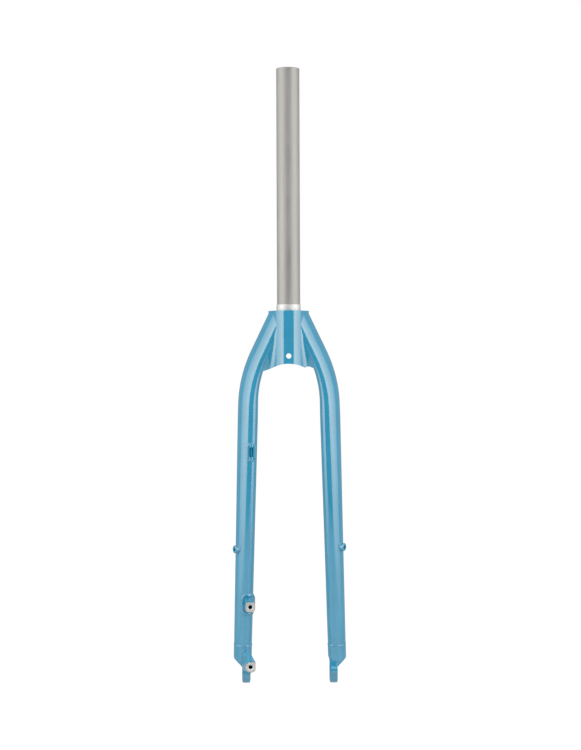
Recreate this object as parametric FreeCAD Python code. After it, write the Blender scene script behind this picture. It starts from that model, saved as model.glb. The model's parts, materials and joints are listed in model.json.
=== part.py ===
import FreeCAD, Part
import math
import os

# Rigid bicycle fork for a front disc brake: a steerer pressed into a welded aluminium crown,
# two bent oval blades and forged fork ends.
# Millimetres. The origin is on the steerer axis, at the flat top of the crown. +Z runs up the
# steerer, +Y points in the direction of travel and +X to the rider's right.

Vector = FreeCAD.Vector

# Steerer, a plain tube for a 1 1/8 inch headset
steerer_diameter = 28.6
steerer_wall = 2.3
steerer_length = 298.0
steerer_chamfer = 0.6
steerer_neck_step = 0.2
steerer_foot_step = 0.4
steerer_foot_drop = 2.0
metal_below_hole = 3.0

# Crown tube, with the seat for the headset race turned on its top
crown_tube_diameter = 40.0
race_seat_step = 0.7
race_seat_height = 7.6
race_seat_straight = 4.0
race_seat_lip = 0.15
arch_radius = 42.5
arch_drop = 65.3
mudguard_hole_diameter = 6.5
mudguard_hole_drop = 55.7

# Blade axis: a straight leg, one bend and a long straight leg, all in one leaning plane
blade_top_offset = 10.2
blade_top_angle = 25.6
blade_bend_drop = 82.6
blade_bend_radius = 150.0
blade_end_rise = 33.0
blade_end_outset = 9.1
axle_rake = 45.0
axle_drop = 452.0

# Blade section: an oval whose long axis is turned, so that its rear end is inboard
blade_wall = 2.0
blade_turn = 30.0
blade_top_long = 33.6
blade_top_short = 18.4
blade_middle_long = 33.0
blade_middle_short = 22.1
blade_end_long = 25.8
blade_end_short = 21.4
blade_swell_length = 22.0
blade_bend_bands = 8

# Closing caps on the cut tops of the blades
blade_cap_thickness = 3.4

# Fillet welds between the crown tube and the blades
crown_weld_radius = 12.0
crown_weld_toe = 0.35
left_weld_slope = 20.0
right_weld_slope = 1.0
right_weld_scallop_width = 8.6
right_weld_scallop_depth = 1.5

# Fork ends and the hub that they hold
hub_width = 100.0
fork_end_thickness = 10.0
axle_slot_width = 9.2
fork_end_radius = 15.5
fork_end_neck_width = 21.0
fork_end_edge = 1.2
fork_end_sink = 0.15
fork_end_step = 0.2
fork_end_head_length = 18.0
fork_end_taper_length = 13.0
fork_end_taper = 3.5
shoulder_outer_rise = 16.9
shoulder_outer_angle = 46.0
shoulder_outer_half = 12.0
shoulder_inner_rise = 20.1
shoulder_inner_half = 11.4
shoulder_inner_length = 6.9
shoulder_inner_radius = 5.0
shoulder_foot_radius = 8.0
left_shoulder_radius = 7.0
right_shoulder_radius = 2.5
retention_recess_diameter = 24.0
retention_recess_depth = 1.0
spigot_length = 16.0
spigot_clearance = 0.1
fork_end_bead_width = 5.0
fork_end_bead_rise = 0.5

# Mudguard eyelet on the right fork end
eyelet_diameter = 11.0
eyelet_thickness = 7.0
eyelet_back = 19.5
eyelet_rise = 3.5
small_thread_bore = 4.2

# Posts for the brake calliper
post_spacing = 74.2
post_face_back = 46.0
lower_post_rise = 11.9
post_inset = 1.4
post_thread_bore = 5.0
post_thread_depth = 18.0
post_thread_countersink = 7.2
upper_post_width = 11.8
upper_post_height = 11.9
upper_post_corner = 2.6
upper_post_straight = 10.0
upper_post_foot_width = 12.4
upper_post_foot_height = 20.0
upper_post_foot_shift = 2.8
upper_post_weld_leg = 1.9
lower_post_width = 12.2
lower_post_height = 12.0
lower_post_outer_cut = 3.6
lower_post_inner_cut = 1.6
lower_post_straight = 9.0
lower_post_foot_height = 30.0

# Threaded bosses on the outer rear flanks of the blades
left_boss_rise = 155.5
right_boss_rise = 158.0
boss_diameter = 10.0
boss_height = 4.3
boss_inside = 1.0
boss_chamfer = 0.6
boss_weld_leg = 1.2

# Hose guide on the rear of the left blade
guide_drop = 172.5
guide_width = 10.3
guide_length = 20.7
guide_height = 3.6
guide_corner = 4.0
guide_inset = 5.5
guide_edge = 0.7
hose_diameter = 5.5
hose_saddle_depth = 1.1
tie_slot_width = 1.5
tie_slot_length = 12.5
tie_slot_spacing = 2.8
tie_slot_depth = 2.6
guide_weld_diameter = 3.4
guide_weld_length = 8.0

# Values that follow from the ones above
steerer_radius = steerer_diameter / 2
neck_radius = steerer_radius + steerer_neck_step
foot_radius = neck_radius + steerer_foot_step
race_seat_radius = steerer_radius + race_seat_step
crown_radius = crown_tube_diameter / 2
mudguard_hole_radius = mudguard_hole_diameter / 2
blade_end_drop = axle_drop - blade_end_rise
shoulder_outer_drop = axle_drop - shoulder_outer_rise
shoulder_inner_drop = axle_drop - shoulder_inner_rise
left_boss_drop = axle_drop - left_boss_rise
right_boss_drop = axle_drop - right_boss_rise
steerer_bottom = -(mudguard_hole_drop + mudguard_hole_radius + metal_below_hole)
arch_centre_drop = arch_drop + arch_radius
arch_edge_drop = arch_centre_drop - math.sqrt(arch_radius ** 2 - crown_radius ** 2)
hub_half = hub_width / 2
plate_outer = hub_half + fork_end_thickness
blade_end_offset = hub_half + blade_end_outset
lean = math.atan2(axle_rake, axle_drop)
turn = math.radians(blade_turn)
top_angle = math.radians(blade_top_angle)
axle = Vector(0, axle_rake, -axle_drop)
post_face_y = axle_rake - post_face_back
lower_post_z = lower_post_rise - axle_drop
upper_post_z = lower_post_z + post_spacing
post_x = hub_half - post_inset
clear = 400.0


class BladeAxis:
    """The bent centre line of a blade, measured along its length from the crown top."""

    def __init__(self):
        self.corner_x = blade_top_offset + blade_bend_drop * math.tan(top_angle)
        self.end_x = blade_end_offset
        self.end_w = blade_end_drop / math.cos(lean)
        self.splay = math.atan2(self.end_x - self.corner_x, self.end_w - blade_bend_drop)
        bend = top_angle - self.splay
        tangent = blade_bend_radius * math.tan(bend / 2)
        self.upper = blade_bend_drop / math.cos(top_angle) - tangent
        self.arc = blade_bend_radius * bend
        lower_leg = math.hypot(self.end_x - self.corner_x, self.end_w - blade_bend_drop)
        self.lower = lower_leg - tangent
        self.length = self.upper + self.arc + self.lower

    def flat(self, s):
        """Distance outboard, distance down and angle from the vertical, at length s."""
        if s <= self.upper:
            x = blade_top_offset + s * math.sin(top_angle)
            return x, s * math.cos(top_angle), top_angle
        if s <= self.upper + self.arc:
            angle = top_angle - (s - self.upper) / blade_bend_radius
            x, w, start_angle = self.flat(self.upper)
            x = x + blade_bend_radius * (math.cos(angle) - math.cos(start_angle))
            w = w + blade_bend_radius * (math.sin(start_angle) - math.sin(angle))
            return x, w, angle
        rest = self.length - s
        x = self.end_x - rest * math.sin(self.splay)
        return x, self.end_w - rest * math.cos(self.splay), self.splay

    def frame(self, s):
        """Point on the right blade's axis, with its outboard, forward and downward directions."""
        x, w, angle = self.flat(s)
        point = Vector(x, w * math.sin(lean), -w * math.cos(lean))
        outboard = Vector(math.cos(angle), -math.sin(angle) * math.sin(lean),
                          math.sin(angle) * math.cos(lean))
        forward = Vector(0, math.cos(lean), math.sin(lean))
        return point, outboard, forward, forward.cross(outboard)

    def at_drop(self, drop):
        """Length along the axis at which it lies a given drop below the crown top."""
        low, high = 0.0, self.length
        for _ in range(50):
            middle = (low + high) / 2
            if -self.frame(middle)[0].z < drop:
                low = middle
            else:
                high = middle
        return low


blade_axis = BladeAxis()


def blend(start, end, share):
    """Smooth change from one value to another."""
    share = min(max(share, 0.0), 1.0)
    share = share * share * (3 - 2 * share)
    return start + (end - start) * share


def blade_radii(s):
    """Long and short radius of the oval at length s of the blade."""
    swell_end = blade_axis.upper + blade_axis.arc + blade_swell_length
    swell_start = blade_axis.upper
    if s <= swell_end:
        share = (s - swell_start) / (swell_end - swell_start)
        long_axis = blend(blade_top_long, blade_middle_long, share)
        short_axis = blend(blade_top_short, blade_middle_short, share)
    else:
        share = (s - swell_end) / (blade_axis.length - swell_end)
        long_axis = blade_middle_long + (blade_end_long - blade_middle_long) * share
        short_axis = blade_middle_short + (blade_end_short - blade_middle_short) * share
    return long_axis / 2, short_axis / 2


def oval_wire(s, inset):
    """The blade's oval at length s, drawn smaller by an inset, for the right blade."""
    point, outboard, forward, down = blade_axis.frame(s)
    long_radius, short_radius = blade_radii(s)
    front = forward * math.cos(turn) + outboard * math.sin(turn)
    flank = outboard * math.cos(turn) - forward * math.sin(turn)
    ellipse = Part.Ellipse(point + front * (long_radius - inset),
                           point + flank * (short_radius - inset), point)
    return Part.Wire([ellipse.toShape(0, math.pi), ellipse.toShape(math.pi, 2 * math.pi)])


def blade_form(inset, start, steps):
    """Solid inside the right blade's outline: two straight legs joined by the bend."""
    bend_start = blade_axis.upper
    bend_end = bend_start + blade_axis.arc + blade_swell_length
    places = [start]
    places += [bend_start + (bend_end - bend_start) * i / steps for i in range(steps + 1)]
    boss_room = boss_diameter / 2 + boss_weld_leg + 1.0
    lowest_boss = blade_axis.at_drop(max(left_boss_drop, right_boss_drop))
    highest_boss = blade_axis.at_drop(min(left_boss_drop, right_boss_drop))
    places += [highest_boss - boss_room, lowest_boss + boss_room, blade_axis.length]
    return Part.makeLoft([oval_wire(s, inset) for s in places], True, True)


def end_form(inset, start, end):
    """Solid that carries the blade's last ovals on in a straight line."""
    return Part.makeLoft([oval_wire(start, inset), oval_wire(end, inset)], True, True)


def mirrored(shape):
    """The same shape on the rider's other side."""
    return shape.mirror(Vector(0, 0, 0), Vector(1, 0, 0))


def box_between(low, high):
    """Box from its lowest corner to its highest."""
    size = high - low
    return Part.makeBox(size.x, size.y, size.z, low)


def rounded_wire(corners):
    """Closed wire through (point, radius) corners, with a tangent arc at each radius."""
    edges = []
    starts = []
    ends = []
    count = len(corners)
    for i in range(count):
        point, radius = corners[i]
        back = corners[i - 1][0] - point
        onward = corners[(i + 1) % count][0] - point
        if radius == 0:
            starts.append(point)
            ends.append(point)
            edges.append(None)
            continue
        back.normalize()
        onward.normalize()
        half = back.getAngle(onward) / 2
        reach = radius / math.tan(half)
        middle = back + onward
        middle.normalize()
        centre = point + middle * (radius / math.sin(half))
        starts.append(point + back * reach)
        ends.append(point + onward * reach)
        arc_middle = centre - middle * radius
        edges.append(Part.Arc(starts[i], arc_middle, ends[i]).toShape())
    outline = []
    for i in range(count):
        if edges[i] is not None:
            outline.append(edges[i])
        gap_end = starts[(i + 1) % count]
        if (gap_end - ends[i]).Length > 1e-6:
            outline.append(Part.makeLine(ends[i], gap_end))
    return Part.Wire(outline)


def prism(corners, direction):
    """Solid pushed out from a rounded outline."""
    return Part.Face(rounded_wire(corners)).extrude(direction)


def post_wire(x, y, z, width, height, corner):
    """Rectangle that faces the rear, with each corner rounded in three narrow flats."""
    points = []
    for quarter, (side_x, side_z) in enumerate([(1, 1), (-1, 1), (-1, -1), (1, -1)]):
        centre_x = x + side_x * (width / 2 - corner)
        centre_z = z + side_z * (height / 2 - corner)
        for step in range(4):
            angle = math.radians(90 * quarter + 30 * step)
            points.append(Vector(centre_x + corner * math.cos(angle), y,
                                 centre_z + corner * math.sin(angle)))
    return Part.makePolygon(points + points[:1])


def make_steerer():
    """Drawn tube with broken rims. It is thicker where the crown holds it: a neck under the
    race seat and a still thicker foot below, pressed into the crown up to the foot's shoulder."""
    bore = steerer_radius - steerer_wall
    corners = [
        (Vector(bore, 0, steerer_bottom), 0),
        (Vector(foot_radius - steerer_chamfer, 0, steerer_bottom), 0),
        (Vector(foot_radius, 0, steerer_bottom + steerer_chamfer), 0),
        (Vector(foot_radius, 0, -steerer_foot_drop), 0),
        (Vector(neck_radius, 0, -steerer_foot_drop), 0),
        (Vector(neck_radius, 0, race_seat_height), 0),
        (Vector(steerer_radius, 0, race_seat_height + steerer_neck_step), 0),
        (Vector(steerer_radius, 0, steerer_length - steerer_chamfer), 0),
        (Vector(steerer_radius - steerer_chamfer, 0, steerer_length), 0),
        (Vector(bore, 0, steerer_length), 0),
    ]
    turned = Part.Face(rounded_wire(corners)).revolve(Vector(0, 0, 0), Vector(0, 0, 1), 360)
    return turned.cut(mudguard_drill())


def mudguard_drill():
    """The drill for the mudguard bolt, from behind the crown right through it."""
    return Part.makeCylinder(mudguard_hole_radius, clear * 2,
                             Vector(0, -clear, -mudguard_hole_drop), Vector(0, 1, 0))


def arch_cutter(x, drop, radius):
    """Round cutter that lies along the direction of travel."""
    return Part.makeCylinder(radius, clear * 2, Vector(x, -clear, -drop), Vector(0, 1, 0))


def crown_cylinder():
    """Outside of the crown tube, longer than the tube itself."""
    return Part.makeCylinder(crown_radius, clear, Vector(0, 0, -clear))


def make_crown_tube():
    """Turned tube: race seat with a lead-in taper above, arch cut out below."""
    lip = neck_radius + race_seat_lip
    bottom = -arch_centre_drop
    corners = [
        (Vector(foot_radius, 0, bottom), 0),
        (Vector(crown_radius, 0, bottom), 0),
        (Vector(crown_radius, 0, 0), 0),
        (Vector(race_seat_radius, 0, 0), 0),
        (Vector(race_seat_radius, 0, race_seat_straight), 0),
        (Vector(lip, 0, race_seat_height), 0),
        (Vector(neck_radius, 0, race_seat_height), 0),
        (Vector(neck_radius, 0, -steerer_foot_drop), 0),
        (Vector(foot_radius, 0, -steerer_foot_drop), 0),
    ]
    turned = Part.Face(rounded_wire(corners)).revolve(Vector(0, 0, 0), Vector(0, 0, 1), 360)
    arch = arch_cutter(0, arch_centre_drop, arch_radius)
    below = box_between(Vector(-clear, -clear, -clear * 2), Vector(clear, clear, bottom + 1))
    return turned.cut(arch).cut(below).cut(mudguard_drill())


def level_oval(drop):
    """Level cut through the right blade: its centre and two conjugate radii."""
    s = blade_axis.at_drop(drop)
    point, outboard, forward, down = blade_axis.frame(s)
    long_radius, short_radius = blade_radii(s)
    front = forward * math.cos(turn) + outboard * math.sin(turn)
    flank = outboard * math.cos(turn) - forward * math.sin(turn)
    radii = []
    for radius in (front * long_radius, flank * short_radius):
        radii.append(radius + down * (radius.z / -down.z))
    return Vector(point.x, point.y, -drop), radii[0], radii[1]


def cap_outline():
    """Face of the level cut under the cap."""
    centre, first, second = level_oval(blade_cap_thickness)
    t = math.atan2(2 * first.dot(second), first.dot(first) - second.dot(second)) / 2
    major = first * math.cos(t) + second * math.sin(t)
    minor = second * math.cos(t) - first * math.sin(t)
    ellipse = Part.Ellipse(centre + major, centre + minor, centre)
    return Part.Face(Part.Wire([ellipse.toShape()]))


def make_blade_cap():
    """Plate that closes the blade's cut top, level with the crown."""
    return cap_outline().extrude(Vector(0, 0, blade_cap_thickness)).cut(crown_cylinder())


def blade_outside():
    """Outside of the right blade, cut level below its cap."""
    above = box_between(Vector(-clear, -clear, -blade_cap_thickness), Vector(clear, clear, clear))
    return blade_form(0, -2 * blade_cap_thickness, blade_bend_bands).cut(above)


def boss_place(drop):
    """Start, direction and inside depth of the boss on the right blade's outer rear flank."""
    s = blade_axis.at_drop(drop)
    point, outboard, forward, down = blade_axis.frame(s)
    flank = outboard * math.cos(turn) - forward * math.sin(turn)
    short_radius = blade_radii(s)[1]
    return point, flank, short_radius


def boss_body(drop):
    """Turned bush, through the blade's wall, without its thread."""
    point, flank, short_radius = boss_place(drop)
    inside = short_radius - blade_wall - boss_inside
    bush = Part.makeCylinder(boss_diameter / 2, short_radius + boss_height - inside,
                             point + flank * inside, flank)
    return bush


def make_boss(drop):
    """Threaded bush with a broken outer rim."""
    point, flank, short_radius = boss_place(drop)
    bush = boss_body(drop)
    outer_face = point + flank * (short_radius + boss_height)
    rim = [edge for edge in bush.Edges
           if len(edge.Vertexes) == 1 and abs((edge.CenterOfMass - outer_face).Length) < 0.01]
    bush = bush.makeChamfer(boss_chamfer, rim)
    thread = Part.makeCylinder(small_thread_bore / 2, clear, point, flank)
    return bush.cut(thread)


def make_boss_weld(drop, blade_solid):
    """Fillet weld round the bush, from the flank up its side."""
    point, flank, short_radius = boss_place(drop)
    sunk = boss_weld_leg
    cone = Part.makeCone(boss_diameter / 2 + 2 * boss_weld_leg, boss_diameter / 2,
                         2 * sunk, point + flank * (short_radius - sunk), flank)
    return cone.cut(blade_solid).cut(boss_body(drop))


def make_blade(boss_drop):
    """Right-hand blade: hollow, coped round the crown tube, drilled for its boss."""
    hollow = blade_form(blade_wall, -2 * blade_cap_thickness, blade_bend_bands - 2)
    tube = blade_outside().cut(hollow).cut(crown_cylinder())
    tube = max(tube.Solids, key=lambda solid: solid.Volume)
    return tube.cut(boss_body(boss_drop))


def weld_circle(drop, rear):
    """Touching points and middle of a round fillet between the crown tube and the blade."""
    middle, first, second = level_oval(drop)
    reach = crown_weld_radius - crown_weld_toe

    def fillet_centre(t):
        along = second * math.cos(t) - first * math.sin(t)
        normal = along.cross(Vector(0, 0, 1))
        normal.normalize()
        radial = first * math.cos(t) + second * math.sin(t)
        if normal.dot(radial) < 0:
            normal = normal * -1
        return middle + radial + normal * reach, normal

    def miss(t):
        centre = fillet_centre(t)[0]
        return math.hypot(centre.x, centre.y) - crown_radius - reach

    steps = 360
    angles = [math.pi * 2 * i / steps for i in range(steps + 1)]
    for low, high in zip(angles, angles[1:]):
        side = fillet_centre(low)[0].y < 0
        if side == rear and miss(low) * miss(high) <= 0:
            break
    for _ in range(40):
        half = (low + high) / 2
        if miss(low) * miss(half) <= 0:
            high = half
        else:
            low = half
    centre, normal = fillet_centre(low)
    to_tube = Vector(-centre.x, -centre.y, 0)
    to_tube.normalize()
    between = to_tube - normal
    between.normalize()
    radius = crown_weld_radius
    return centre + to_tube * radius, centre + between * radius, centre - normal * radius


def crown_weld_wire(drop):
    """One level outline of the weld: the two round valleys, joined inside tube and blade."""
    rear_tube, rear_middle, rear_blade = weld_circle(drop, True)
    front_tube, front_middle, front_blade = weld_circle(drop, False)
    return Part.Wire([
        Part.Arc(rear_tube, rear_middle, rear_blade).toShape(),
        Part.makeLine(rear_blade, front_blade),
        Part.Arc(front_blade, front_middle, front_tube).toShape(),
        Part.makeLine(front_tube, rear_tube),
    ])


def make_crown_weld(blade_solid, slope, scallop_depth):
    """Fillet weld on the right: smooth valleys, with the crotch filled down to the arch."""
    bottom = arch_edge_drop + 10.0
    steps = 5
    wires = [crown_weld_wire(bottom * i / steps) for i in range(steps + 1)]
    fill = Part.makeLoft(wires, True, False)
    fill = fill.cut(crown_cylinder()).cut(blade_solid).cut(cap_outline().extrude(Vector(0, 0, 10)))
    fill = fill.cut(arch_cutter(0, arch_centre_drop, arch_radius))
    edge_z = -arch_edge_drop
    far_x = crown_radius + clear
    far_z = edge_z - clear * math.tan(math.radians(slope))
    underside = prism([
        (Vector(crown_radius, -clear, edge_z), 0),
        (Vector(crown_radius, -clear, -clear), 0),
        (Vector(far_x, -clear, -clear), 0),
        (Vector(far_x, -clear, far_z), 0),
    ], Vector(0, 2 * clear, 0))
    fill = fill.cut(underside)
    if scallop_depth > 0:
        half = right_weld_scallop_width / 2
        radius = (half ** 2 + scallop_depth ** 2) / (2 * scallop_depth)
        centre_drop = arch_edge_drop - scallop_depth + radius
        fill = fill.cut(arch_cutter(crown_radius + half, centre_drop, radius))
    return max(fill.Solids, key=lambda solid: solid.Volume)


def fork_end_front(outer_radius):
    """Front view of the right fork end, pushed through the full depth of the fork."""
    shoulder_x = blade_end_offset + shoulder_outer_half
    inner_x = blade_end_offset - shoulder_inner_half
    outer_flank = plate_outer - fork_end_sink
    inner_flank = hub_half + fork_end_sink
    fall = (shoulder_x - outer_flank) / math.tan(math.radians(shoulder_outer_angle))
    foot_z = -(shoulder_outer_drop + fall)
    bottom = -(axle_drop + fork_end_radius)
    top = -(blade_end_drop - spigot_length)
    depth = axle_rake - 2 * fork_end_radius
    corners = [
        (Vector(inner_x, depth, top), 0),
        (Vector(shoulder_x, depth, top), 0),
        (Vector(shoulder_x, depth, -shoulder_outer_drop), outer_radius),
        (Vector(outer_flank, depth, foot_z), shoulder_foot_radius),
        (Vector(outer_flank, depth, bottom), 0),
        (Vector(inner_flank, depth, bottom), 0),
        (Vector(inner_flank, depth, -(shoulder_inner_drop + shoulder_inner_length)),
         shoulder_inner_radius),
        (Vector(inner_x, depth, -shoulder_inner_drop), shoulder_inner_radius),
    ]
    return prism(corners, Vector(0, 4 * fork_end_radius, 0))


def fork_end_plate():
    """Flat plate round the axle, with its rim chamfered."""
    neck_half = fork_end_neck_width / 2
    neck_top = -(shoulder_outer_drop - 1)
    neck_y = axle_rake - 1.0
    wide_z = -(axle_drop - 4.0)
    bottom = -(axle_drop + fork_end_radius)
    bend = fork_end_radius * 0.6
    x = hub_half
    corners = [
        (Vector(x, neck_y - neck_half, neck_top), 0),
        (Vector(x, neck_y + neck_half, neck_top), 0),
        (Vector(x, axle_rake + fork_end_radius, wide_z), bend),
        (Vector(x, axle_rake + fork_end_radius, bottom), fork_end_radius - 1.0),
        (Vector(x, axle_rake - fork_end_radius, bottom), fork_end_radius - 1.0),
        (Vector(x, axle_rake - fork_end_radius, wide_z), bend),
    ]
    plate = prism(corners, Vector(fork_end_thickness, 0, 0))
    rims = [edge for edge in plate.Edges
            if abs(edge.BoundBox.XLength) < 1e-6 and edge.CenterOfMass.z < neck_top - 0.1]
    return plate.makeChamfer(fork_end_edge, rims)


def axle_slot():
    """Open slot for the hub axle, with the shallow recess that keeps a loose wheel in."""
    half = axle_slot_width / 2
    start = Vector(hub_half - clear / 4, axle_rake, -axle_drop)
    round_top = Part.makeCylinder(half, clear, start, Vector(1, 0, 0))
    channel = box_between(Vector(hub_half - clear / 4, axle_rake - half, -axle_drop - clear / 4),
                          Vector(hub_half + clear, axle_rake + half, -axle_drop))
    recess = Part.makeCylinder(retention_recess_diameter / 2, clear,
                               Vector(plate_outer - retention_recess_depth, axle_rake, -axle_drop),
                               Vector(1, 0, 0))
    return round_top.fuse(channel).fuse(recess)


def fork_end_blank(outer_radius):
    """Forged fork end for the right side, before its slot is cut."""
    top = blade_axis.length
    waist = top + fork_end_head_length
    head = end_form(-fork_end_step, top, waist)
    taper = Part.makeLoft([oval_wire(waist, -fork_end_step),
                           oval_wire(waist + fork_end_taper_length, fork_end_taper)], True, True)
    spigot = end_form(blade_wall + spigot_clearance, top - spigot_length, top)
    body = head.fuse(taper).common(fork_end_front(outer_radius))
    return body.fuse(fork_end_plate()).fuse(spigot)


def make_right_fork_end():
    """Fork end with a mudguard eyelet behind the axle."""
    centre_y = axle_rake - eyelet_back
    centre_z = eyelet_rise - axle_drop
    middle_x = hub_half + fork_end_thickness / 2
    radius = eyelet_diameter / 2
    start = Vector(middle_x - eyelet_thickness / 2, centre_y, centre_z)
    lobe = Part.makeCylinder(radius, eyelet_thickness, start, Vector(1, 0, 0))
    web = box_between(start + Vector(0, 0, -radius),
                      start + Vector(eyelet_thickness, eyelet_back - fork_end_radius + 3, radius))
    thread = Part.makeCylinder(small_thread_bore / 2, clear, Vector(0, centre_y, centre_z),
                               Vector(1, 0, 0))
    blank = fork_end_blank(right_shoulder_radius).fuse(lobe.fuse(web))
    return blank.cut(axle_slot()).cut(thread)


def post_thread(x, z):
    """Tapping drill and countersink for a brake bolt, from the post's face forwards."""
    face = Vector(x, post_face_y, z)
    drill = Part.makeCylinder(post_thread_bore / 2, post_thread_depth, face, Vector(0, 1, 0))
    sink_depth = (post_thread_countersink - post_thread_bore) / 2
    sink = Part.makeCone(post_thread_countersink / 2, post_thread_bore / 2, sink_depth, face,
                         Vector(0, 1, 0))
    return drill.fuse(sink)


def lower_post_wire(x, y, z, width, height):
    """Block outline with its outboard corners cut well back, centred on x and z."""
    left = x - width / 2
    right = x + width / 2
    low = z - height / 2
    high = z + height / 2
    inner = lower_post_inner_cut
    outer = lower_post_outer_cut
    return rounded_wire([
        (Vector(left + inner, y, low), 0),
        (Vector(right - outer, y, low), 0),
        (Vector(right, y, low + outer), 0),
        (Vector(right, y, high - outer), 0),
        (Vector(right - outer, y, high), 0),
        (Vector(left + inner, y, high), 0),
        (Vector(left, y, high - inner), 0),
        (Vector(left, y, low + inner), 0),
    ])


def make_left_fork_end():
    """Fork end whose rear arm carries the lower brake post, made as a right-hand shape."""
    neck = post_face_y + lower_post_straight
    root = axle_rake - fork_end_radius + 4.0
    plate_middle = hub_half + fork_end_thickness / 2
    plate_width = fork_end_thickness - 2 * fork_end_step
    size = (lower_post_width, lower_post_height)
    post = Part.makeLoft([
        lower_post_wire(post_x, post_face_y, lower_post_z, *size),
        lower_post_wire(post_x, neck, lower_post_z, *size),
    ], True, True)
    arm = Part.makeLoft([
        lower_post_wire(post_x, neck, lower_post_z, *size),
        lower_post_wire(plate_middle, root, lower_post_z, plate_width, lower_post_foot_height),
    ], True, True)
    blank = fork_end_blank(left_shoulder_radius).fuse(post.fuse(arm))
    return blank.cut(axle_slot()).cut(post_thread(post_x, lower_post_z))


def make_fork_end_weld(blade_solid, end_solid):
    """Low bead round the foot of the blade, over the joint with the fork end."""
    middle = blade_axis.length
    half = fork_end_bead_width / 2
    crest = fork_end_bead_rise
    toe = 0.1
    profile = [(-half, -toe), (-half * 0.5, crest * 0.9), (half * 0.5, crest),
               (half, fork_end_step - toe)]
    wires = [oval_wire(middle + along, -rise) for along, rise in profile]
    bead = Part.makeLoft(wires, True, True)
    bead = bead.cut(blade_solid).cut(end_solid)
    return max(bead.Solids, key=lambda solid: solid.Volume)


def upper_post_body():
    """Forged post with a taller, outboard foot, made as a right-hand shape."""
    face = post_face_y
    neck = face + upper_post_straight
    s = blade_axis.at_drop(-upper_post_z)
    point = blade_axis.frame(s)[0]
    foot_y = point.y - 4.0
    foot_x = post_x + upper_post_foot_shift
    shank = Part.makeLoft([
        post_wire(post_x, face, upper_post_z, upper_post_width, upper_post_height,
                  upper_post_corner),
        post_wire(post_x, neck, upper_post_z, upper_post_width, upper_post_height,
                  upper_post_corner),
    ], True, True)
    foot = Part.makeLoft([
        post_wire(post_x, neck, upper_post_z, upper_post_width, upper_post_height,
                  upper_post_corner),
        post_wire(foot_x, foot_y, upper_post_z, upper_post_foot_width, upper_post_foot_height,
                  upper_post_corner),
    ], True, True)
    return shank.fuse(foot).removeSplitter()


def make_upper_post(blade_solid):
    """Upper brake post, saddled on the blade and tapped."""
    post = upper_post_body().cut(blade_solid)
    post = min(post.Solids, key=lambda solid: solid.BoundBox.YMin)
    return post.cut(post_thread(post_x, upper_post_z))


def make_upper_post_weld(blade_solid):
    """Fillet weld round the post's foot."""
    s = blade_axis.at_drop(-upper_post_z)
    point = blade_axis.frame(s)[0]
    foot_y = point.y - 4.0
    foot_x = post_x + upper_post_foot_shift
    leg = upper_post_weld_leg
    toe_y = post_face_y + upper_post_straight + 8.0
    share = (toe_y - post_face_y - upper_post_straight) / (
        foot_y - post_face_y - upper_post_straight)
    toe_width = upper_post_width + (upper_post_foot_width - upper_post_width) * share
    toe_height = upper_post_height + (upper_post_foot_height - upper_post_height) * share
    skirt = Part.makeLoft([
        post_wire(post_x + upper_post_foot_shift * share, toe_y, upper_post_z,
                  toe_width, toe_height, upper_post_corner),
        post_wire(foot_x, foot_y, upper_post_z, upper_post_foot_width + 2 * leg,
                  upper_post_foot_height + 2 * leg, upper_post_corner + leg),
    ], True, True)
    weld = skirt.cut(upper_post_body()).cut(blade_solid)
    return min(weld.Solids, key=lambda solid: solid.BoundBox.YMin)


def guide_frame():
    """Point and directions for the hose guide, as on a right-hand blade."""
    s = blade_axis.at_drop(guide_drop)
    point, outboard, forward, down = blade_axis.frame(s)
    long_radius = blade_radii(s)[0]
    nose = long_radius * math.cos(turn)
    face = point - outboard * guide_inset - forward * (nose + guide_height)
    return face, outboard, forward, down * -1


def guide_block(width, length, start, depth, corner):
    """Rounded block in the guide's own directions, from a depth below its face."""
    face, outboard, forward, up = guide_frame()
    origin = face + forward * start
    half_width = outboard * (width / 2)
    half_length = up * (length / 2)
    corners = [
        (origin - half_width - half_length, corner),
        (origin + half_width - half_length, corner),
        (origin + half_width + half_length, corner),
        (origin - half_width + half_length, corner),
    ]
    return prism(corners, forward * depth)


def make_hose_guide(blade_solid):
    """Pad with a saddle for the hose and two slots for its tie, made as a right-hand shape."""
    face, outboard, forward, up = guide_frame()
    pad = guide_block(guide_width, guide_length, 0, guide_height + 8.0, guide_corner)
    rim = [edge for edge in pad.Edges
           if abs((edge.CenterOfMass - face).dot(forward)) < 1e-6
           and edge.BoundBox.YLength < guide_length]
    pad = pad.makeChamfer(guide_edge, rim)
    saddle_axis = face - forward * (hose_diameter / 2 - hose_saddle_depth)
    saddle = Part.makeCylinder(hose_diameter / 2, guide_length * 2,
                               saddle_axis - up * guide_length, up)
    pad = pad.cut(saddle)
    for side in (-1, 1):
        shift = outboard * (side * tie_slot_spacing / 2)
        slot = guide_block(tie_slot_width, tie_slot_length, -1, tie_slot_depth + 1,
                           tie_slot_width / 2.1)
        slot.translate(shift)
        pad = pad.cut(slot)
    tunnel = guide_block(tie_slot_spacing, tie_slot_length, tie_slot_depth - 0.9, 0.9,
                         tie_slot_width / 2.1)
    pad = pad.cut(tunnel).cut(blade_solid)
    return max(pad.Solids, key=lambda solid: solid.Volume)


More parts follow.
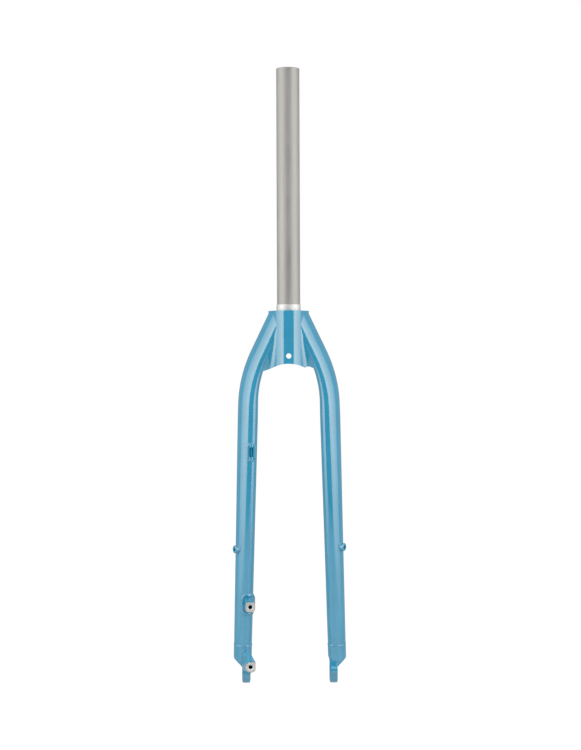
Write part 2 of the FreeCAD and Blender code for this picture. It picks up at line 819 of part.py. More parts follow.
def rear_tangent(s, inset):
    """Point on the rear of the right blade's oval, an inset inboard, and the way along it there."""
    point, outboard, forward, down = blade_axis.frame(s)
    long_radius, short_radius = blade_radii(s)
    across_long = long_radius * math.sin(turn)
    across_short = short_radius * math.cos(turn)
    reach = math.hypot(across_long, across_short)
    start = math.atan2(across_short, across_long)
    t = start + math.acos(-inset / reach)
    front = forward * math.cos(turn) + outboard * math.sin(turn)
    flank = outboard * math.cos(turn) - forward * math.sin(turn)
    surface = point + front * (long_radius * math.cos(t)) + flank * (short_radius * math.sin(t))
    along = flank * (short_radius * math.cos(t)) - front * (long_radius * math.sin(t))
    along.normalize()
    return surface, along


def make_guide_welds(blade_solid, guide):
    """Two short beads, one across each end of the hose guide."""
    radius = guide_weld_diameter / 2
    half = guide_weld_length / 2 - radius
    middle_s = blade_axis.at_drop(guide_drop)
    beads = []
    for side in (-1, 1):
        surface, along = rear_tangent(middle_s + side * guide_length / 2, guide_inset)
        bead = Part.makeCylinder(radius, 2 * half, surface - along * half, along)
        for sign in (-1, 1):
            end = Part.makeCone(radius, radius * 0.4, radius * 0.7,
                                surface + along * (sign * half), along * sign)
            bead = bead.fuse(end)
        bead = bead.cut(blade_solid).cut(guide)
        beads.append(max(bead.Solids, key=lambda solid: solid.Volume))
    return Part.makeCompound(beads)


os.makedirs("parts", exist_ok=True)
outside = blade_outside()
end_blank = fork_end_blank(right_shoulder_radius)
guide = make_hose_guide(outside)

parts = {
    "steerer_tube": make_steerer(),
    "crown_tube": make_crown_tube(),
    "left_blade": mirrored(make_blade(left_boss_drop)),
    "right_blade": make_blade(right_boss_drop),
    "left_blade_cap": mirrored(make_blade_cap()),
    "right_blade_cap": make_blade_cap(),
    "left_crown_weld": mirrored(make_crown_weld(outside, left_weld_slope, 0)),
    "right_crown_weld": make_crown_weld(outside, right_weld_slope, right_weld_scallop_depth),
    "left_fork_end": mirrored(make_left_fork_end()),
    "right_fork_end": make_right_fork_end(),
    "left_fork_end_weld": mirrored(make_fork_end_weld(outside, end_blank)),
    "right_fork_end_weld": make_fork_end_weld(outside, end_blank),
    "upper_disc_post": mirrored(make_upper_post(outside)),
    "upper_disc_post_weld": mirrored(make_upper_post_weld(outside)),
    "left_blade_boss": mirrored(make_boss(left_boss_drop)),
    "right_blade_boss": make_boss(right_boss_drop),
    "left_boss_weld": mirrored(make_boss_weld(left_boss_drop, outside)),
    "right_boss_weld": make_boss_weld(right_boss_drop, outside),
    "hose_guide": mirrored(guide),
    "hose_guide_welds": mirrored(make_guide_welds(outside, guide)),
}

for name, shape in parts.items():
    print(name, shape.ShapeType, "solids", len(shape.Solids), "valid", shape.isValid(),
          "volume", round(shape.Volume, 1))
    shape.exportStep("parts/" + name + ".step")
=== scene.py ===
import json
import math

import bpy
from mathutils import Matrix, Vector, noise
from mathutils.bvhtree import BVHTree


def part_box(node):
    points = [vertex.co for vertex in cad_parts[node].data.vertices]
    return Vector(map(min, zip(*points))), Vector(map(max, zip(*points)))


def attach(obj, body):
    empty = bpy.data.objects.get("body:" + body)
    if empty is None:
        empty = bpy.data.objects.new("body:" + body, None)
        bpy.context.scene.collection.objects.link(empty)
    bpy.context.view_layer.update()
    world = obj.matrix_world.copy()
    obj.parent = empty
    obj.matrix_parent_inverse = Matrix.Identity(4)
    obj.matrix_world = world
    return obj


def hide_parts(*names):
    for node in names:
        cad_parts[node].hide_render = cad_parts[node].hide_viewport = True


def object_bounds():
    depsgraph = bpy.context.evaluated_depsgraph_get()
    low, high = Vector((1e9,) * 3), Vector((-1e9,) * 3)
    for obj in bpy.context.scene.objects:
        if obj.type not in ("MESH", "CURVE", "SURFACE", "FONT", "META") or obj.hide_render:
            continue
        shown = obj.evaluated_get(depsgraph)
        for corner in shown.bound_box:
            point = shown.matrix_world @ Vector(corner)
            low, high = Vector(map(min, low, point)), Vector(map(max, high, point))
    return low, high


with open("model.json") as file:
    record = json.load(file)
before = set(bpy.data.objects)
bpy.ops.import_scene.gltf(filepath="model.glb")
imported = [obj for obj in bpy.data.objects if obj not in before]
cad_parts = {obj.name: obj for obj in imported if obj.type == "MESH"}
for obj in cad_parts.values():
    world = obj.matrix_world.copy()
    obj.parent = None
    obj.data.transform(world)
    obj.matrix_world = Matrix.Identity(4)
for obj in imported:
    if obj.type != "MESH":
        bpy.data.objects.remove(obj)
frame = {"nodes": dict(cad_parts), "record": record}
nodes = frame["nodes"]
cad_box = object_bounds()


# The photograph's view: level with the crown, straight from behind, a little over two metres
# away, and turned a fraction of a degree as the hung fork was.
view_distance = 2.080
view_right = 0.00234
view_down = 0.07914
view_dip = math.radians(0.60)
view_roll = math.radians(0.21)
view_start = 0.1
view_end = 30
photo_height = 750
photo_focal = 1687.3
film_height = 24

ahead = Vector((0, math.cos(view_dip), -math.sin(view_dip)))
level_up = Vector((0, math.sin(view_dip), math.cos(view_dip)))
across = Vector((1, 0, 0))
camera_right = across * math.cos(view_roll) - level_up * math.sin(view_roll)
camera_up = across * math.sin(view_roll) + level_up * math.cos(view_roll)
camera_data = bpy.data.cameras.new("photo_view")
camera_data.sensor_fit = "VERTICAL"
camera_data.sensor_height = film_height
camera_data.lens = film_height * photo_focal / photo_height
camera_data.clip_start = view_start
camera_data.clip_end = view_end
camera = bpy.data.objects.new("photo_view", camera_data)
bpy.context.scene.collection.objects.link(camera)
camera_place = camera_right * view_right - camera_up * view_down - ahead * view_distance
camera_turn = Matrix((camera_right, camera_up, -ahead)).transposed().to_4x4()
camera.matrix_world = Matrix.Translation(camera_place) @ camera_turn
bpy.context.scene.camera = camera
bpy.context.scene.view_settings.view_transform = "Standard"


# The studio: a white room and a pale floor a quarter of a metre under the fork, with a tall
# soft box on each side, brightest at its inner edge and dim at its foot. Gloss and metal alone
# mirror grey walls, a dark wall behind the camera and a dark mat on the floor under it.
floor_drop = 0.25
floor_half = 6.0
floor_colour = (0.60, 0.60, 0.60, 1)
floor_rough = 0.9
floor_lift = 0.66
room_white = 1.0
fill_light = 0.56
room_half = 2.6
wall_top = 2.5
wall_black = (0.01, 0.01, 0.01, 1)
wall_glow = 0.30
mat_edge = -1.35
mat_rise = 0.002
box_distance = 1.3
box_bottom = -0.70
box_top = 1.0
box_core = 0.15
box_outer = 0.25
box_foot = 0.12
box_foot_share = 0.20


def new_finish(name):
    """A new material with its node tree and its shader."""
    material = bpy.data.materials.new(name)
    material.use_nodes = True
    return material, material.node_tree, material.node_tree.nodes["Principled BSDF"]


def ranged(tree, value, low, high, out_low, out_high):
    """A value carried from one range to another, and held at its ends."""
    node = tree.nodes.new("ShaderNodeMapRange")
    node.inputs["From Min"].default_value = low
    node.inputs["From Max"].default_value = high
    node.inputs["To Min"].default_value = out_low
    node.inputs["To Max"].default_value = out_high
    tree.links.new(value, node.inputs["Value"])
    return node.outputs["Result"]


def mesh_piece(name, corners, faces):
    """A new object of its own from corners and faces."""
    mesh = bpy.data.meshes.new(name)
    mesh.from_pydata(corners, [], faces)
    piece = bpy.data.objects.new(name, mesh)
    bpy.context.scene.collection.objects.link(piece)
    return piece


world = bpy.data.worlds.new("white_room")
world.use_nodes = True
world_tree = world.node_tree
background = world_tree.nodes["Background"]
background.inputs["Color"].default_value = (1, 1, 1, 1)
world_paths = world_tree.nodes.new("ShaderNodeLightPath")
sees_white = world_paths.outputs["Is Camera Ray"]
for other_ray in ("Is Transmission Ray", "Is Glossy Ray"):
    either = world_tree.nodes.new("ShaderNodeMath")
    either.operation = "MAXIMUM"
    world_tree.links.new(sees_white, either.inputs[0])
    world_tree.links.new(world_paths.outputs[other_ray], either.inputs[1])
    sees_white = either.outputs[0]
world_tree.links.new(ranged(world_tree, sees_white, 0.0, 1.0, fill_light, room_white),
                     background.inputs["Strength"])
bpy.context.scene.world = world


def flat_panel(name, corners, material):
    """A flat stage panel through the given corners."""
    panel = mesh_piece(name, corners, [tuple(range(len(corners)))])
    panel.data.materials.append(material)
    return panel


def level_panel(name, half_width, near, far, height, material):
    """A level stage panel, from its near edge to its far edge as the camera sees them."""
    return flat_panel(name, [(-half_width, near, height), (half_width, near, height),
                             (half_width, far, height), (-half_width, far, height)], material)


floor_paint, floor_tree, floor_shader = new_finish("floor_paint")
floor_shader.inputs["Base Color"].default_value = floor_colour
floor_shader.inputs["Roughness"].default_value = floor_rough
floor_shader.inputs["Emission Color"].default_value = (1, 1, 1, 1)
floor_paths = floor_tree.nodes.new("ShaderNodeLightPath")
floor_tree.links.new(ranged(floor_tree, floor_paths.outputs["Is Camera Ray"],
                            0.0, 1.0, 0.0, floor_lift),
                     floor_shader.inputs["Emission Strength"])
floor_height = cad_box[0].z - floor_drop
level_panel("floor", floor_half, -floor_half, floor_half, floor_height, floor_paint)


def wall_paint(name, glow):
    """A black wall paint without gloss, which glows by itself with the given strength."""
    material, _, shader = new_finish(name)
    shader.inputs["Base Color"].default_value = wall_black
    shader.inputs["Specular IOR Level"].default_value = 0.0
    shader.inputs["Emission Color"].default_value = (1, 1, 1, 1)
    shader.inputs["Emission Strength"].default_value = glow
    return material


dark_paint = wall_paint("dark_room", glow=0.0)
grey_paint = wall_paint("grey_room", glow=wall_glow)
room_corners = [(-room_half, -room_half), (room_half, -room_half),
                (room_half, room_half), (-room_half, room_half)]
mirrored_panels = []
for index, (corner_x, corner_y) in enumerate(room_corners):
    next_x, next_y = room_corners[(index + 1) % len(room_corners)]
    behind_camera = index == 0
    mirrored_panels.append(flat_panel(f"room_wall_{index}",
                                      [(corner_x, corner_y, floor_height),
                                       (next_x, next_y, floor_height),
                                       (next_x, next_y, wall_top),
                                       (corner_x, corner_y, wall_top)],
                                      dark_paint if behind_camera else grey_paint))
mirrored_panels.append(level_panel("dark_mat", room_half, -room_half, mat_edge,
                                   floor_height + mat_rise, dark_paint))
for panel in mirrored_panels:
    panel.visible_camera = False
    panel.visible_diffuse = False
    panel.visible_shadow = False
    panel.visible_transmission = False


def soft_box(name, near_angle, far_angle, radiance):
    """A tall soft box between two angles from the camera's direction, left where negative."""
    ends = []
    for angle in (near_angle, far_angle):
        turn = math.radians(angle)
        ends.append(Vector((math.sin(turn), -math.cos(turn), 0)) * box_distance)
    middle = (ends[0] + ends[1]) / 2
    middle.z = (box_bottom + box_top) / 2
    upward = Vector((0, 0, 1))
    side = (ends[1] - ends[0]).normalized()
    facing = side.cross(upward)
    outer_edge_last = facing.dot(middle) > 0
    if not outer_edge_last:
        facing = facing * -1
        side = side * -1
    data = bpy.data.lights.new(name, "AREA")
    data.shape = "RECTANGLE"
    data.size = (ends[1] - ends[0]).length
    data.size_y = box_top - box_bottom
    data.energy = radiance * math.pi * data.size * data.size_y
    data.use_nodes = True
    tree = data.node_tree
    place = tree.nodes.new("ShaderNodeNewGeometry")
    parts = tree.nodes.new("ShaderNodeSeparateXYZ")
    tree.links.new(place.outputs["Parametric"], parts.inputs[0])
    if outer_edge_last:
        sideways = ranged(tree, parts.outputs["X"], box_core, 1.0, 1.0, box_outer)
    else:
        sideways = ranged(tree, parts.outputs["X"], 0.0, 1.0 - box_core, box_outer, 1.0)
    glow = tree.nodes.new("ShaderNodeMath")
    glow.operation = "MULTIPLY"
    tree.links.new(sideways, glow.inputs[0])
    tree.links.new(ranged(tree, parts.outputs["Y"], 0.0, box_foot_share, box_foot, 1.0),
                   glow.inputs[1])
    tree.links.new(glow.outputs[0], tree.nodes["Emission"].inputs["Strength"])
    lamp = bpy.data.objects.new(name, data)
    bpy.context.scene.collection.objects.link(lamp)
    lamp_turn = Matrix((side, upward, facing)).transposed().to_4x4()
    lamp.matrix_world = Matrix.Translation(middle) @ lamp_turn
    lamp.visible_camera = False


soft_box("left_box", near_angle=-36, far_angle=-104, radiance=2.1)
soft_box("right_box", near_angle=36, far_angle=100, radiance=2.2)


# The steerer: a plain drawn tube, 1 1/8 inch across, left bare and matt from the etching bath.
# It is pressed into the crown tube and keeps the faint long streaks of the drawing die.
steerer_metal = (0.57, 0.555, 0.53, 1)
steerer_rough = 0.66
steerer_groove = 0.000008
stain_scale = 22.0
grit_scale = 2600.0
ring_stretch = (60.0, 60.0, 5200.0)
streak_stretch = (900.0, 900.0, 14.0)
noise_span = (0.3, 0.7)
stain_shade = (0.93, 1.05)
mark_shade = (0.95, 1.05)
grit_shade = (0.94, 1.06)
stain_rough = (-0.04, 0.05)


def node_group(name, inputs, outputs):
    """An empty shader group with named sockets: (name, kind, starting value)."""
    group = bpy.data.node_groups.new(name, "ShaderNodeTree")
    for label, kind, value in inputs:
        socket = group.interface.new_socket(label, in_out="INPUT", socket_type=kind)
        socket.default_value = value
    for label, kind in outputs:
        group.interface.new_socket(label, in_out="OUTPUT", socket_type=kind)
    return group, group.nodes.new("NodeGroupInput"), group.nodes.new("NodeGroupOutput")


def noise_of(group, scale, detail, stretch=None):
    """A noise over the object's own coordinates, stretched along an axis where asked."""
    place = group.nodes.new("ShaderNodeTexCoord").outputs["Object"]
    texture = group.nodes.new("ShaderNodeTexNoise")
    texture.inputs["Scale"].default_value = scale
    texture.inputs["Detail"].default_value = detail
    if stretch is not None:
        mapping = group.nodes.new("ShaderNodeMapping")
        mapping.inputs["Scale"].default_value = stretch
        group.links.new(place, mapping.inputs["Vector"])
        place = mapping.outputs["Vector"]
    group.links.new(place, texture.inputs["Vector"])
    return texture.outputs["Fac"]


def mixed(tree, kind, share, first, second):
    """One colour, number or direction turned into another by a mask."""
    node = tree.nodes.new("ShaderNodeMix")
    node.data_type = kind
    tree.links.new(share, node.inputs["Factor"])
    tree.links.new(first, node.inputs["A"])
    tree.links.new(second, node.inputs["B"])
    return node.outputs["Result"]


def shaded(tree, colour, pattern, shade):
    """A colour made darker and lighter by a noise, between the two ends of a shade."""
    node = tree.nodes.new("ShaderNodeMix")
    node.data_type = "RGBA"
    node.blend_type = "MULTIPLY"
    node.inputs["Factor"].default_value = 1.0
    tree.links.new(colour, node.inputs["A"])
    tree.links.new(ranged(tree, pattern, *noise_span, *shade), node.inputs["B"])
    return node.outputs["Result"]


def added(tree, first, second):
    """The sum of two values."""
    node = tree.nodes.new("ShaderNodeMath")
    tree.links.new(first, node.inputs[0])
    tree.links.new(second, node.inputs[1])
    return node.outputs[0]


def bumped(tree, height, depth):
    """The normal of a surface that stands up by a pattern, as far as its depth."""
    node = tree.nodes.new("ShaderNodeBump")
    node.inputs["Strength"].default_value = 1.0
    tree.links.new(depth, node.inputs["Distance"])
    tree.links.new(height, node.inputs["Height"])
    return node.outputs["Normal"]


bare_metal, metal_in, metal_out = node_group(
    "bare_metal",
    [("Colour", "NodeSocketColor", (0.5, 0.5, 0.5, 1)), ("Roughness", "NodeSocketFloat", 0.4),
     ("Groove Height", "NodeSocketFloat", 0.00001), ("Rings", "NodeSocketFloat", 1.0)],
    [("Colour", "NodeSocketColor"), ("Roughness", "NodeSocketFloat"),
     ("Normal", "NodeSocketVector")])
stain = noise_of(bare_metal, stain_scale, detail=4.0)
turned_rings = noise_of(bare_metal, 1.0, detail=3.0, stretch=ring_stretch)
drawn_streaks = noise_of(bare_metal, 1.0, detail=3.0, stretch=streak_stretch)
tool_marks = mixed(bare_metal, "FLOAT", metal_in.outputs["Rings"], drawn_streaks, turned_rings)
grit = noise_of(bare_metal, grit_scale, detail=2.0)
stained = shaded(bare_metal, metal_in.outputs["Colour"], stain, stain_shade)
marked = shaded(bare_metal, stained, tool_marks, mark_shade)
bare_metal.links.new(shaded(bare_metal, marked, grit, grit_shade), metal_out.inputs["Colour"])
bare_metal.links.new(added(bare_metal, metal_in.outputs["Roughness"],
                           ranged(bare_metal, stain, *noise_span, *stain_rough)),
                     metal_out.inputs["Roughness"])
bare_metal.links.new(bumped(bare_metal, added(bare_metal, tool_marks, grit),
                            metal_in.outputs["Groove Height"]),
                     metal_out.inputs["Normal"])


def place_group(tree, group, **values):
    """A group put into a material, with the values of its sockets."""
    node = tree.nodes.new("ShaderNodeGroup")
    node.node_tree = group
    for label, value in values.items():
        node.inputs[label.replace("_", " ")].default_value = value
    return node


def film_on(tree, film, shader):
    """A film's colour, roughness and normal linked to a shader."""
    tree.links.new(film.outputs["Colour"], shader.inputs["Base Color"])
    tree.links.new(film.outputs["Roughness"], shader.inputs["Roughness"])
    tree.links.new(film.outputs["Normal"], shader.inputs["Normal"])


def wear(node_name, material):
    """Gives a node of the frame a material in place of its own."""
    for slot in nodes[node_name].material_slots:
        slot.material = material


steerer_finish, steerer_tree, steerer_shader = new_finish("matt_steerer")
steerer_film = place_group(steerer_tree, bare_metal, Colour=steerer_metal,
                           Roughness=steerer_rough, Groove_Height=steerer_groove, Rings=0.0)
film_on(steerer_tree, steerer_film, steerer_shader)
steerer_shader.inputs["Metallic"].default_value = 1.0
wear("steerer_tube", steerer_finish)


# The crown tube: a thick turned tube under gloss paint. Its race seat stands bare and bright
# above the paint, because it is turned after painting.
paint_colour = (0.043, 0.350, 0.565, 1)
paint_rough = 0.10
paint_peel = 0.000007
paint_gloss = 2.2
paint_tint = (0.95, 0.80, 0.60, 1)
coat_share = 0.5
coat_rough = 0.05
cloud_scale = 35.0
flake_scale = 5200.0
peel_scale = 420.0
cloud_shade = (0.96, 1.04)
flake_shade = (0.93, 1.07)
cloud_rough = (-0.01, 0.02)
machined_metal = (0.90, 0.89, 0.87, 1)
machined_rough = 0.62
machined_groove = 0.000004
seat_edge = 0.00012
edge_blur = 0.00008

paint_film, film_in, film_out = node_group(
    "paint_film",
    [("Colour", "NodeSocketColor", paint_colour), ("Roughness", "NodeSocketFloat", 0.1),
     ("Peel Height", "NodeSocketFloat", 0.00001)],
    [("Colour", "NodeSocketColor"), ("Roughness", "NodeSocketFloat"),
     ("Normal", "NodeSocketVector")])
clouds = noise_of(paint_film, cloud_scale, detail=3.0)
flakes = noise_of(paint_film, flake_scale, detail=1.0)
peel = noise_of(paint_film, peel_scale, detail=2.0)
clouded = shaded(paint_film, film_in.outputs["Colour"], clouds, cloud_shade)
paint_film.links.new(shaded(paint_film, clouded, flakes, flake_shade), film_out.inputs["Colour"])
paint_film.links.new(added(paint_film, film_in.outputs["Roughness"],
                           ranged(paint_film, clouds, *noise_span, *cloud_rough)),
                     film_out.inputs["Roughness"])
paint_film.links.new(bumped(paint_film, peel, film_in.outputs["Peel Height"]),
                     film_out.inputs["Normal"])


def painted_film(tree):
    """The fork's own paint, put into a material."""
    return place_group(tree, paint_film, Colour=paint_colour, Roughness=paint_rough,
                       Peel_Height=paint_peel)


def gloss_on(shader):
    """The lacquer's own constant gloss, set on a shader."""
    shader.inputs["IOR"].default_value = paint_gloss
    shader.inputs["Specular Tint"].default_value = paint_tint
    shader.inputs["Coat Weight"].default_value = coat_share
    shader.inputs["Coat Roughness"].default_value = coat_rough


def part_bare(name, axis, threshold, above):
    """Paint, with bare machined metal above or below a threshold on an axis of the row frame."""
    material, tree, shader = new_finish(name)
    film = painted_film(tree)
    metal = place_group(tree, bare_metal, Colour=machined_metal, Roughness=machined_rough,
                        Groove_Height=machined_groove)
    place = tree.nodes.new("ShaderNodeTexCoord")
    parts = tree.nodes.new("ShaderNodeSeparateXYZ")
    tree.links.new(place.outputs["Object"], parts.inputs["Vector"])
    blur = edge_blur if above else -edge_blur
    mask = ranged(tree, parts.outputs[axis], threshold - blur, threshold + blur, 0.0, 1.0)
    for output, kind, socket in (("Colour", "RGBA", "Base Color"),
                                 ("Roughness", "FLOAT", "Roughness"),
                                 ("Normal", "VECTOR", "Normal")):
        tree.links.new(mixed(tree, kind, mask, film.outputs[output], metal.outputs[output]),
                       shader.inputs[socket])
    tree.links.new(mask, shader.inputs["Metallic"])
    gloss_on(shader)
    tree.links.new(ranged(tree, mask, 0.0, 1.0, coat_share, 0.0), shader.inputs["Coat Weight"])
    return material


gloss_paint, gloss_tree, gloss_shader = new_finish("gloss_paint")
film_on(gloss_tree, painted_film(gloss_tree), gloss_shader)
gloss_on(gloss_shader)
wear("crown_tube", part_bare("crown_paint_and_seat", "Z", seat_edge, above=True))


# The blades: two drawn oval tubes with one bend each, coped round the crown tube, closed by
# small caps and filleted on with weld that was ground smooth before painting. The oval is
# turned, so that its rear end is inboard, and it is narrower across at the top.
axle_rake = 0.045
axle_drop = 0.452
leg_lean = math.atan2(axle_rake, axle_drop)
blade_top_offset = 0.0102
blade_top_angle = math.radians(25.6)
blade_bend_drop = 0.0826
blade_bend_radius = 0.150
blade_end_outset = 0.0591
blade_end_rise = 0.033
blade_turn = math.radians(30.0)
blade_top_radii = (0.0168, 0.0092)
blade_middle_radii = (0.0165, 0.01105)
blade_end_radii = (0.0129, 0.0107)
blade_wall = 0.002
blade_swell = 0.022
blade_cap = 0.0034
blade_rings = 150
blade_sides = 96
cope_radius = 0.0199
cope_foot = -0.2
cutter_top = 0.1
top_cutter_radius = 0.2
cutter_sides = 96
socket_radius = 0.005
socket_depth = 0.012
socket_outreach = 0.01
sharp_angle = math.radians(35)

blade_end_drop = axle_drop - blade_end_rise
bend_x = blade_top_offset + blade_bend_drop * math.tan(blade_top_angle)
end_fall = blade_end_drop / math.cos(leg_lean)
blade_splay = math.atan2(blade_end_outset - bend_x, end_fall - blade_bend_drop)
bend_angle = blade_top_angle - blade_splay
bend_tangent = blade_bend_radius * math.tan(bend_angle / 2)
upper_leg = blade_bend_drop / math.cos(blade_top_angle) - bend_tangent
bend_length = blade_bend_radius * bend_angle
lower_leg = math.hypot(blade_end_outset - bend_x, end_fall - blade_bend_drop) - bend_tangent
blade_length = upper_leg + bend_length + lower_leg
swell_end = upper_leg + bend_length + blade_swell
forward = Vector((0, math.cos(leg_lean), math.sin(leg_lean)))
above_crown = Vector((0, 0, cutter_top))
mounts = {mount["name"]: mount for mount in frame["record"]["mounts"]}


def blade_line(s):
    """Distance outboard, distance down and angle from the vertical, at length s of the blade."""
    if s <= upper_leg:
        return (blade_top_offset + s * math.sin(blade_top_angle),
                s * math.cos(blade_top_angle), blade_top_angle)
    if s <= upper_leg + bend_length:
        angle = blade_top_angle - (s - upper_leg) / blade_bend_radius
        outset, fall, start = blade_line(upper_leg)
        return (outset + blade_bend_radius * (math.cos(angle) - math.cos(start)),
                fall + blade_bend_radius * (math.sin(start) - math.sin(angle)), angle)
    rest = blade_length - s
    return (blade_end_outset - rest * math.sin(blade_splay),
            end_fall - rest * math.cos(blade_splay), blade_splay)


def blade_radii(s):
    """The oval's two radii at length s: they swell through the bend, then taper to the end."""
    if s <= swell_end:
        share = min(max((s - upper_leg) / (swell_end - upper_leg), 0), 1)
        share = share * share * (3 - 2 * share)
        start, end = blade_top_radii, blade_middle_radii
    else:
        share = (s - swell_end) / (blade_length - swell_end)
        start, end = blade_middle_radii, blade_end_radii
    return [a + (b - a) * share for a, b in zip(start, end)]


def blade_ring(s, inset):
    """The right blade's oval at length s, drawn smaller by an inset."""
    outset, fall, angle = blade_line(s)
    point = Vector((outset, fall * math.sin(leg_lean), -fall * math.cos(leg_lean)))
    outboard = Vector((math.cos(angle), -math.sin(angle) * math.sin(leg_lean),
                       math.sin(angle) * math.cos(leg_lean)))
    front = forward * math.cos(blade_turn) + outboard * math.sin(blade_turn)
    flank = outboard * math.cos(blade_turn) - forward * math.sin(blade_turn)
    long_radius, short_radius = blade_radii(s)
    ring = []
    for i in range(blade_sides):
        turn = 2 * math.pi * i / blade_sides
        ring.append(point + front * ((long_radius - inset) * math.cos(turn))
                    + flank * ((short_radius - inset) * math.sin(turn)))
    return ring


def circle(middle, aside, upward, radius, steps):
    """Points round a circle in the plane of two directions."""
    points = []
    for i in range(steps):
        turn = 2 * math.pi * i / steps
        points.append(middle + (aside * math.cos(turn) + upward * math.sin(turn)) * radius)
    return points


def round_cutter(start, end, radius):
    """A closed round bar between two points, to cut a hole or a cope with."""
    along = (end - start).normalized()
    aside = along.orthogonal().normalized()
    upward = along.cross(aside)
    corners = circle(start, aside, upward, radius, cutter_sides)
    corners += circle(end, aside, upward, radius, cutter_sides)
    faces = [tuple(reversed(range(cutter_sides))), tuple(range(cutter_sides, 2 * cutter_sides))]
    for i in range(cutter_sides):
        beside = (i + 1) % cutter_sides
        faces.append((i, beside, cutter_sides + beside, cutter_sides + i))
    return mesh_piece("cutter", corners, faces)


def cut_away(piece, cutters):
    """Takes the cutters out of a piece, then takes the cutters out of the scene."""
    for cutter in cutters:
        step = piece.modifiers.new("cut", "BOOLEAN")
        step.operation = "DIFFERENCE"
        step.solver = "EXACT"
        step.object = cutter
    depsgraph = bpy.context.evaluated_depsgraph_get()
    finished = bpy.data.meshes.new_from_object(piece.evaluated_get(depsgraph))
    piece.modifiers.clear()
    piece.data = finished
    for cutter in cutters:
        bpy.data.objects.remove(cutter)


# The rings start above the crown's flat top, and the level cut then leaves room for the cap.
ring_places = [-2 * blade_cap + (blade_length + 2 * blade_cap) * i / (blade_rings - 1)
               for i in range(blade_rings)]
for side, sign in (("left", -1), ("right", 1)):
    outside = [corner for s in ring_places for corner in blade_ring(s, 0)]
    inside = [corner for s in ring_places for corner in blade_ring(s, blade_wall)]
    corners = [Vector((corner.x * sign, corner.y, corner.z)) for corner in outside + inside]
    inner = len(outside)
    last = (blade_rings - 1) * blade_sides
    faces = []
    # The outer skin and the inner skin, then the rims that join them at both ends.
    for i in range(blade_rings - 1):
        for step in range(blade_sides):
            near = i * blade_sides + step
            beside = i * blade_sides + (step + 1) % blade_sides
            faces.append((near, near + blade_sides, beside + blade_sides, beside))
            faces.append((inner + beside, inner + beside + blade_sides,
                          inner + near + blade_sides, inner + near))
    for step in range(blade_sides):
        beside = (step + 1) % blade_sides
        faces.append((beside, inner + beside, inner + step, step))
        faces.append((last + step, inner + last + step, inner + last + beside, last + beside))
    if sign > 0:
        faces = [tuple(reversed(face)) for face in faces]
    blade = mesh_piece(f"{side}_drawn_blade", corners, faces)
    boss = mounts[f"{side}_blade_boss"]
    boss_face = Vector(boss["pos_m"])
    boss_axis = Vector(boss["axis"]).normalized()
    cut_away(blade, [round_cutter(Vector((0, 0, cope_foot)), above_crown, cope_radius),
                     round_cutter(Vector((0, 0, -blade_cap)), above_crown, top_cutter_radius),
                     round_cutter(boss_face + boss_axis * socket_outreach,
                                  boss_face - boss_axis * socket_depth, socket_radius)])
    blade.data.shade_smooth()
    blade.data.set_sharp_from_angle(angle=sharp_angle)
    blade.data.materials.clear()
    blade.data.materials.append(gloss_paint)
    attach(blade, "root")
    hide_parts(f"{side}_blade")
for painted in ("left_blade_cap", "right_blade_cap", "left_crown_weld", "right_crown_weld"):
    wear(painted, gloss_paint)


# The fork ends: forged plates with axle slots, welded into the blades' lower ends. The left
# one carries the lower brake post, whose face is machined bare after painting. The joint is
# one low weld bead right round the blade, painted over with the rest.
post_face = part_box("upper_disc_post")[0].y
bare_depth = 0.0012
ripple_pitch = 0.0017
ripple_share = 0.10
ripple_middle = 0.6
ripple_lean = 0.4
lump_share = 0.22
lump_scale = 170.0
bead_sides = 12
bead_spread = 1.3
bead_taper = 0.0018
bead_blunt = 0.01
end_bead_radius = 0.0013
end_bead_sink = 0.00085
end_bead_rise = 0.0006
end_bead_steps = 260
end_reach = 0.04


def skin_of(name):
    """The surface of a node, for finding where a weld bead lies on it."""
    mesh = nodes[name].data
    corners = [vertex.co.copy() for vertex in mesh.vertices]
    return BVHTree.FromPolygons(corners, [list(face.vertices) for face in mesh.polygons])


def laid_on(skin, starts, directions):
    """Where points moved along their directions first meet a surface, with its normals."""
    places = []
    for start, direction in zip(starts, directions):
        point, normal = skin.ray_cast(start, direction)[:2]
        if point is not None:
            places.append((point, normal if normal.dot(direction) < 0 else -normal))
    return places


def weld_bead(name, places, radius, sink, closed, replaced=None):
    """A rippled bead along places on a surface, each a point and an outward normal."""
    corners = []
    count = len(places)
    lengths = [0.0]
    for (before, _), (after, _) in zip(places, places[1:]):
        lengths.append(lengths[-1] + (after - before).length)
    for i, (point, normal) in enumerate(places):
        after = places[(i + 1) % count if closed else min(i + 1, count - 1)][0]
        before = places[i - 1 if closed else max(i - 1, 0)][0]
        along = (after - before).normalized()
        aside = normal.cross(along).normalized()
        to_end = min(lengths[i], lengths[-1] - lengths[i])
        taper = 1.0 if closed else math.sqrt(min(to_end / bead_taper, 1.0) + bead_blunt)
        size = radius * taper * (1 + lump_share * noise.noise(point * lump_scale))
        for step in range(bead_sides):
            turn = 2 * math.pi * step / bead_sides
            phase = lengths[i] + ripple_lean * size * math.cos(turn)
            wave = abs(math.sin(math.pi * phase / ripple_pitch))
            reach = size * (1 + ripple_share * (wave - ripple_middle))
            corners.append(point - normal * sink + normal * (reach * math.cos(turn))
                           + aside * (reach * bead_spread * math.sin(turn)))
    faces = []
    for i in range(count if closed else count - 1):
        start = i * bead_sides
        onward = ((i + 1) % count) * bead_sides
        for step in range(bead_sides):
            beside = (step + 1) % bead_sides
            faces.append((start + step, start + beside, onward + beside, onward + step))
    if not closed:
        faces.append(tuple(reversed(range(bead_sides))))
        faces.append(tuple(range((count - 1) * bead_sides, count * bead_sides)))
    bead = mesh_piece(name, corners, faces)
    bead.data.shade_smooth()
    bead.data.materials.append(gloss_paint)
    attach(bead, "root")
    if replaced:
        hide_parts(replaced)


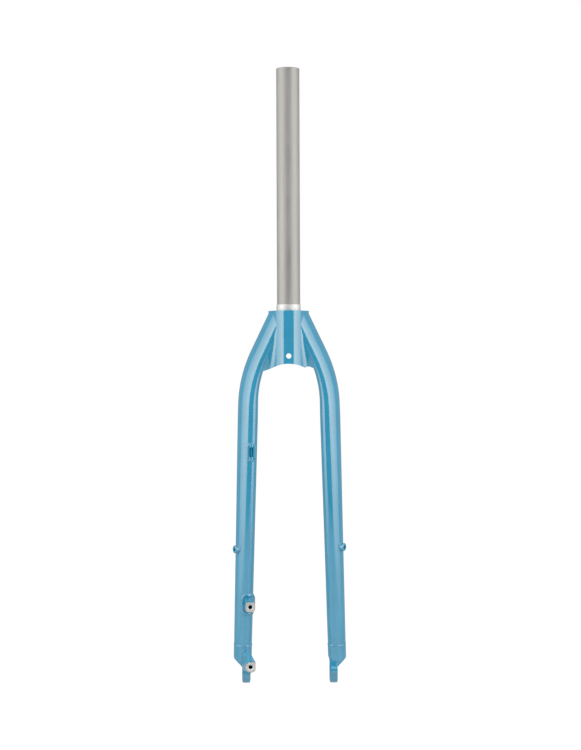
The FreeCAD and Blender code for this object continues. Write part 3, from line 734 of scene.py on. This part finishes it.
wear("right_fork_end", gloss_paint)
wear("left_fork_end",
     part_bare("fork_end_paint_and_face", "Y", post_face + bare_depth, above=False))
skins = {name: skin_of(name) for name in ("left_blade", "right_blade")}
down_blade = forward.cross(across)
for side, sign in (("left", -1), ("right", 1)):
    middle = Vector((blade_end_outset * sign, blade_end_drop * math.tan(leg_lean),
                     -blade_end_drop))
    hoop = circle(middle, across, forward, end_reach, end_bead_steps)
    starts = [start - down_blade * end_bead_rise for start in hoop]
    inward = [middle - start for start in hoop]
    weld_bead(f"{side}_fork_end_bead", laid_on(skins[f"{side}_blade"], starts, inward),
              end_bead_radius, end_bead_sink, closed=True, replaced=f"{side}_fork_end_weld")


# The upper brake post: forged, saddled on the blade and held by a thick bead of weld round its
# foot. Its face is machined bare together with the lower one's.
post_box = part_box("upper_disc_post")
foot_outset = 0.0514
foot_half = (0.0077, 0.0117)
foot_squareness = 4.0
foot_steps = 200
foot_reach = 0.05
foot_bead_radius = 0.0019
foot_bead_sink = 0.0006

wear("upper_disc_post",
     part_bare("post_paint_and_face", "Y", post_face + bare_depth, above=False))
wear("upper_disc_post_weld", gloss_paint)
foot_middle = Vector((-foot_outset, 0, (post_box[0].z + post_box[1].z) / 2))
outline = []
for i in range(foot_steps):
    turn = 2 * math.pi * i / foot_steps
    round_x = math.copysign(abs(math.cos(turn)) ** (2 / foot_squareness), math.cos(turn))
    round_z = math.copysign(abs(math.sin(turn)) ** (2 / foot_squareness), math.sin(turn))
    outline.append(foot_middle + Vector((foot_half[0] * round_x, post_face - foot_reach,
                                         foot_half[1] * round_z)))
to_front = Vector((0, 1, 0))
foot_places = laid_on(skins["left_blade"], outline, [to_front] * foot_steps)
weld_bead("upper_post_bead", foot_places, foot_bead_radius, foot_bead_sink,
          closed=len(foot_places) == foot_steps)


# The bosses: turned bushes with an M5 thread, let into the outer rear flanks of the blades
# and held by a slim ring of weld each.
boss_ring = 0.0052
boss_steps = 110
boss_reach = 0.02
boss_bead_radius = 0.0008
boss_bead_sink = 0.0002

for side in ("left", "right"):
    wear(f"{side}_blade_boss", gloss_paint)
    boss = mounts[f"{side}_blade_boss"]
    boss_axis = Vector(boss["axis"]).normalized()
    flat_across = boss_axis.cross(Vector((0, 0, 1))).normalized()
    starts = circle(Vector(boss["pos_m"]) + boss_axis * boss_reach, flat_across,
                    flat_across.cross(boss_axis), boss_ring, boss_steps)
    places = laid_on(skins[f"{side}_blade"], starts, [-boss_axis] * boss_steps)
    weld_bead(f"{side}_boss_bead", places, boss_bead_radius, boss_bead_sink, closed=True,
              replaced=f"{side}_boss_weld")


# The hose guide: a small metal pad with a saddle and two slots for a tie. It is welded to the
# rear of the left blade across both its ends.
guide_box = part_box("hose_guide")
guide_edge = 0.0012
guide_steps = 60
guide_reach = 0.02
guide_bead_sink = 0.0003
upper_bead_inset = 0.0002
upper_bead_radius = 0.0011
lower_bead_inset = 0.0004
lower_bead_radius = 0.0015

wear("hose_guide", gloss_paint)
low_x = guide_box[0].x + guide_edge
high_x = guide_box[1].x - guide_edge
guide_beads = (
    ("upper", guide_box[1].z - upper_bead_inset, upper_bead_radius, "hose_guide_welds"),
    ("lower", guide_box[0].z + lower_bead_inset, lower_bead_radius, None))
for end, height, radius, replaced in guide_beads:
    starts = [Vector((low_x + (high_x - low_x) * i / guide_steps,
                      guide_box[0].y - guide_reach, height)) for i in range(guide_steps + 1)]
    places = laid_on(skins["left_blade"], starts, [to_front] * (guide_steps + 1))
    weld_bead(f"{end}_guide_bead", places, radius, guide_bead_sink, closed=False,
              replaced=replaced)
